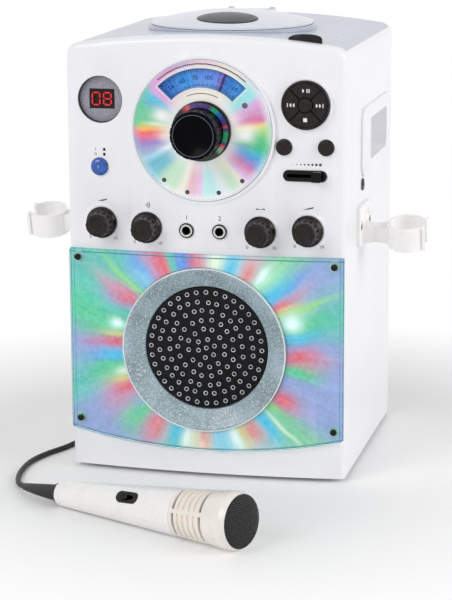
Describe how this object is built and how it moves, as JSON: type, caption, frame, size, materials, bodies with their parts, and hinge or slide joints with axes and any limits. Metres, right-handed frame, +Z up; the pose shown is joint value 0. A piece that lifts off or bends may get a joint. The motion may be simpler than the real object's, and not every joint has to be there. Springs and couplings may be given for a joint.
{
  "type": "karaoke machine",
  "caption": "Table-top karaoke machine with a top-loading disc drive, tuning dial, light box round the speaker, side holders and a wired microphone beside it.",
  "frame": {"origin": "centre of the machine's base on the floor, under the middle of its width and depth", "axes": "+X to the right as seen from the front, +Y to the back, +Z up"},
  "size_m": [0.3728, 0.548, 0.4106],
  "materials": {
    "housing_white": "satin",
    "black": "satin",
    "knob_black": "satin",
    "gloss_black": "glossy",
    "ivory": "satin",
    "clear": "clear",
    "smoke": "tinted",
    "dial_print": "iridescent",
    "mirror_foil": "bright",
    "led": "clear",
    "display_grey": "metallic",
    "display_red": "tinted",
    "power_blue": "glossy",
    "pointer_red": "glossy",
    "steel": "bright",
    "nickel": "bright",
    "board": "satin",
    "rubber": "matte",
    "mesh": "satin"
  },
  "bodies": {
    "housing": {"back_panel": "housing_white", "cabinet": "housing_white", "case_screws": "black", "control_board": "board", "dial_disc": "dial_print", "dial_window": "clear", "disc_well": "housing_white", "display_face": "display_grey", "display_leds": "display_red", "drive_chassis": "steel", "fader_track": "black", "front_panel": "housing_white", "glitter_ring": "clear", "guide_rods": "steel", "jack_sockets": "nickel", "light_cover": "clear", "light_leds": "led", "light_reflector": "mirror_foil", "main_board": "board", "mic_boot": "black", "mic_cord": "rubber", "mic_cord_coil": "rubber", "mic_grille": "mesh", "mic_handle": "ivory", "mic_holder_left": "ivory", "mic_holder_right": "ivory", "mic_plug": "nickel", "mic_switch_plate": "black", "mic_vent": "ivory", "pad_bezel": "black", "potentiometers": "steel", "rear_sockets": "nickel", "rubber_feet": "rubber", "side_grip_left": "housing_white", "side_grip_right": "housing_white", "speaker_driver": "black", "speaker_grille": "black", "tuning_ring": "gloss_black"},
    "lid": {"disc_lid": "housing_white", "lid_window": "smoke"},
    "spindle": {"spindle_hub": "black"},
    "sled": {"laser_sled": "black"},
    "sled_gear": {"sled_gear": "ivory"},
    "open_button": {"open_button": "black"},
    "tuning_knob": {"tuning_knob": "gloss_black"},
    "dial_pointer": {"dial_pointer": "pointer_red"},
    "mic_volume_knob": {"mic_volume_knob": "knob_black"},
    "echo_knob": {"echo_knob": "knob_black"},
    "balance_knob": {"balance_knob": "knob_black"},
    "volume_knob": {"volume_knob": "knob_black"},
    "power_button": {"power_button": "power_blue"},
    "program_button": {"program_button": "knob_black"},
    "repeat_button": {"repeat_button": "knob_black"},
    "fader_knob": {"fader_knob": "gloss_black"},
    "mic_switch": {"mic_switch": "black"},
    "pad_next_button": {"pad_next_button": "knob_black"},
    "pad_play_button": {"pad_play_button": "knob_black"},
    "pad_back_button": {"pad_back_button": "knob_black"},
    "pad_stop_button": {"pad_stop_button": "knob_black"},
    "pad_centre_button": {"pad_centre_button": "knob_black"}
  },
  "joints": [
    {"name": "lid_hinge", "type": "hinge", "parent": "housing", "child": "lid", "pos_m": [0, 0.068, 0.4014], "axis": [-1, 0, 0], "range_deg": [0, 70]},
    {"name": "open_button_press", "type": "slide", "parent": "housing", "child": "open_button", "axis": [0, 0, -1], "range_m": [0, 0.003], "stiffness_N_per_m": 300},
    {"name": "spindle_spin", "type": "hinge", "parent": "housing", "child": "spindle", "pos_m": [0, -0.012, 0.381], "axis": [0, 0, 1], "continuous": true},
    {"name": "sled_slide", "type": "slide", "parent": "housing", "child": "sled", "axis": [1, 0, 0], "range_m": [0, 0.033]},
    {"name": "sled_gear_spin", "type": "hinge", "parent": "housing", "child": "sled_gear", "pos_m": [0.03, 0.02015, 0.3725], "axis": [0, 0, 1], "range_deg": [-5, 280]},
    {"name": "tuning_turn", "type": "hinge", "parent": "housing", "child": "tuning_knob", "pos_m": [0, -0.13, 0.315], "axis": [0, -1, 0], "range_deg": [-65, 215]},
    {"name": "pointer_turn", "type": "hinge", "parent": "housing", "child": "dial_pointer", "pos_m": [0, -0.124, 0.315], "axis": [0, -1, 0], "range_deg": [-20, 65]},
    {"name": "fader_slide", "type": "slide", "parent": "housing", "child": "fader_knob", "axis": [1, 0, 0], "range_m": [-0.023, 0.001]},
    {"name": "mic_volume_turn", "type": "hinge", "parent": "housing", "child": "mic_volume_knob", "pos_m": [-0.0935, -0.1253, 0.23], "axis": [0, -1, 0], "range_deg": [-135, 135]},
    {"name": "echo_turn", "type": "hinge", "parent": "housing", "child": "echo_knob", "pos_m": [-0.0515, -0.12773, 0.2274], "axis": [0, -1, 0], "range_deg": [-135, 135]},
    {"name": "balance_turn", "type": "hinge", "parent": "housing", "child": "balance_knob", "pos_m": [0.0515, -0.12773, 0.227], "axis": [0, -1, 0], "range_deg": [-135, 135]},
    {"name": "volume_turn", "type": "hinge", "parent": "housing", "child": "volume_knob", "pos_m": [0.0935, -0.1253, 0.229], "axis": [0, -1, 0], "range_deg": [-135, 135]},
    {"name": "power_button_press", "type": "slide", "parent": "housing", "child": "power_button", "axis": [0, 1, 0], "range_m": [0, 0.0012], "stiffness_N_per_m": 400},
    {"name": "program_button_press", "type": "slide", "parent": "housing", "child": "program_button", "axis": [0, 1, 0], "range_m": [0, 0.0012], "stiffness_N_per_m": 400},
    {"name": "repeat_button_press", "type": "slide", "parent": "housing", "child": "repeat_button", "axis": [0, 1, 0], "range_m": [0, 0.0012], "stiffness_N_per_m": 400},
    {"name": "pad_next_button_press", "type": "slide", "parent": "housing", "child": "pad_next_button", "axis": [0, 1, 0], "range_m": [0, 0.0012], "stiffness_N_per_m": 400},
    {"name": "pad_play_button_press", "type": "slide", "parent": "housing", "child": "pad_play_button", "axis": [0, 1, 0], "range_m": [0, 0.0012], "stiffness_N_per_m": 400},
    {"name": "pad_back_button_press", "type": "slide", "parent": "housing", "child": "pad_back_button", "axis": [0, 1, 0], "range_m": [0, 0.0012], "stiffness_N_per_m": 400},
    {"name": "pad_stop_button_press", "type": "slide", "parent": "housing", "child": "pad_stop_button", "axis": [0, 1, 0], "range_m": [0, 0.0012], "stiffness_N_per_m": 400},
    {"name": "pad_centre_button_press", "type": "slide", "parent": "housing", "child": "pad_centre_button", "axis": [0, 1, 0], "range_m": [0, 0.0012], "stiffness_N_per_m": 400},
    {"name": "mic_switch_slide", "type": "slide", "parent": "housing", "child": "mic_switch", "axis": [0.9055, -0.4184, 0.0711], "range_m": [0, 0.006]}
  ],
  "couplings": [
    {"joint": "sled_gear_spin", "follows": "sled_slide", "rad_per_m": 142.86},
    {"joint": "pointer_turn", "follows": "tuning_turn", "ratio": 0.3}
  ]
}
